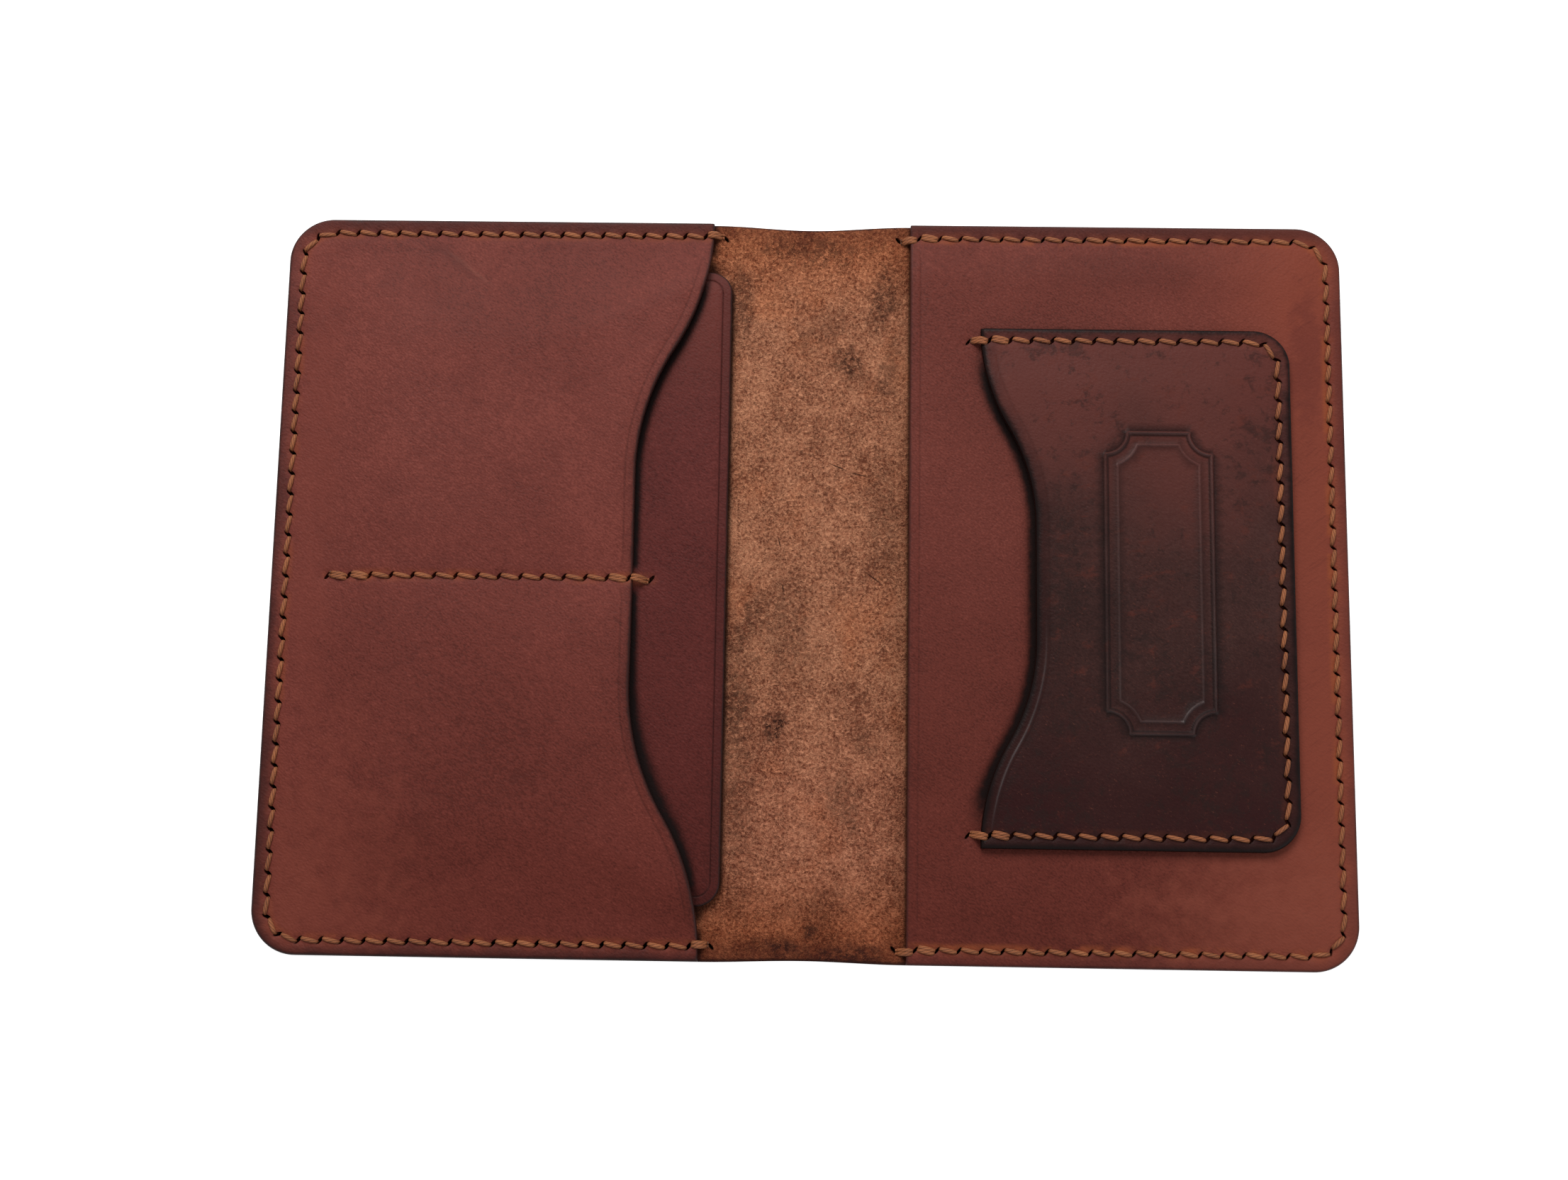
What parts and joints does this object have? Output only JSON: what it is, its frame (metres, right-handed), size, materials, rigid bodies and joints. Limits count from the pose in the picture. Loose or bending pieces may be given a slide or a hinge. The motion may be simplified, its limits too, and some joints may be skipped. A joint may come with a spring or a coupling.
{
  "type": "passport holder wallet",
  "caption": "Two-fold leather passport wallet lying open: passport sleeve with a curved-mouth card pocket, wide divided pocket, bare folding spine.",
  "frame": {"origin": "on the cover's underside, in the middle of the fold and half way up", "axes": "+X across the open wallet towards the card pocket, +Y up the wallet's height, +Z away from the surface it lies on, out of the pockets' faces"},
  "size_m": [0.204, 0.142, 0.0064],
  "materials": {
    "cover_leather": "undyed flesh side inside, waxed grain outside, burnished edges",
    "sleeve_leather": "waxed pull-up grain, satin",
    "card_pocket_leather": "waxed pull-up grain, satin, darker",
    "left_pocket_leather": "waxed pull-up grain, satin",
    "waxed_thread": "waxed three-ply twisted linen thread"
  },
  "bodies": {
    "right_half": {"cover_right_panel": "cover_leather", "sleeve_panel": "sleeve_leather", "sleeve_sewn_edge": "sleeve_leather", "card_pocket_panel": "card_pocket_leather", "card_pocket_sewn_edge": "card_pocket_leather", "right_edge_seam": "waxed_thread", "card_pocket_seam": "waxed_thread"},
    "spine": {"cover_spine": "cover_leather"},
    "left_half": {"cover_left_panel": "cover_leather", "divider_panel": "left_pocket_leather", "left_pocket_panel": "left_pocket_leather", "left_pocket_sewn_edge": "left_pocket_leather", "left_edge_seam": "waxed_thread", "centre_seam": "waxed_thread"}
  },
  "joints": [
    {"name": "spine_bend", "type": "hinge", "parent": "right_half", "child": "spine", "pos_m": [0.00475, 0, 0.0018], "axis": [0, 1, 0], "range_deg": [0, 90]},
    {"name": "cover_fold", "type": "hinge", "parent": "spine", "child": "left_half", "pos_m": [-0.00475, 0, 0.0018], "axis": [0, 1, 0], "range_deg": [0, 90]}
  ],
  "couplings": [
    {"joint": "spine_bend", "follows": "cover_fold", "ratio": 1}
  ]
}
